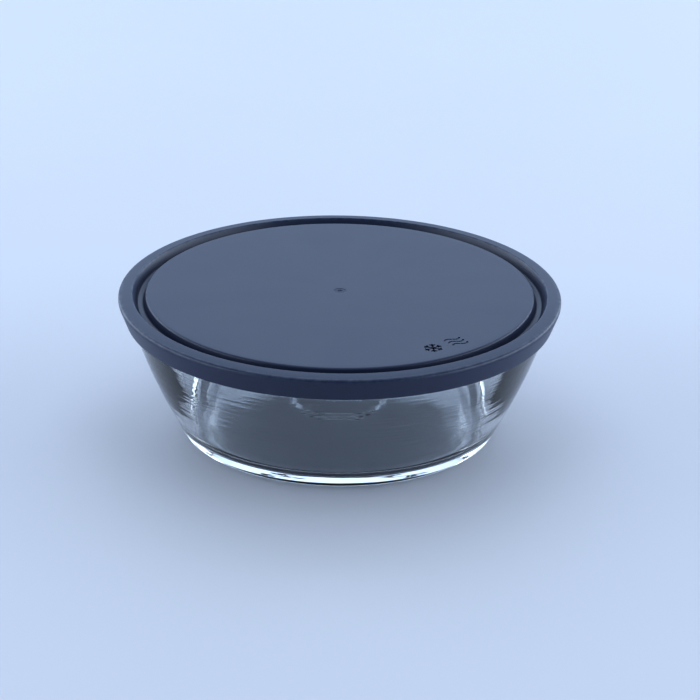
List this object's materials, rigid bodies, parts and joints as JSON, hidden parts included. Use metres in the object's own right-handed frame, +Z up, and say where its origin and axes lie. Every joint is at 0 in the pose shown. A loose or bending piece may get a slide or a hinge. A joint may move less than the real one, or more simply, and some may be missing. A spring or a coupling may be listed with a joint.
{
  "type": "glass storage container",
  "caption": "Round clear glass storage bowl with sloping walls and a flat slate-grey press-on plastic lid with a grooved rim.",
  "frame": {"origin": "middle of the plane that the bowl stands on", "axes": "+Z up along the container's axis; -Y is the side that the care marks on the lid are read from"},
  "size_m": [0.19, 0.19, 0.061],
  "materials": {
    "clear_glass": "pressed and fire-polished, clear",
    "lid_plastic": "fine matte, slate grey"
  },
  "bodies": {
    "bowl": {"glass_bowl": "clear_glass"},
    "lid": {"lid": "lid_plastic"}
  },
  "joints": [
    {"name": "lid_lift", "type": "slide", "parent": "bowl", "child": "lid", "axis": [0, 0, 1], "range_m": [0, 0.09]}
  ]
}
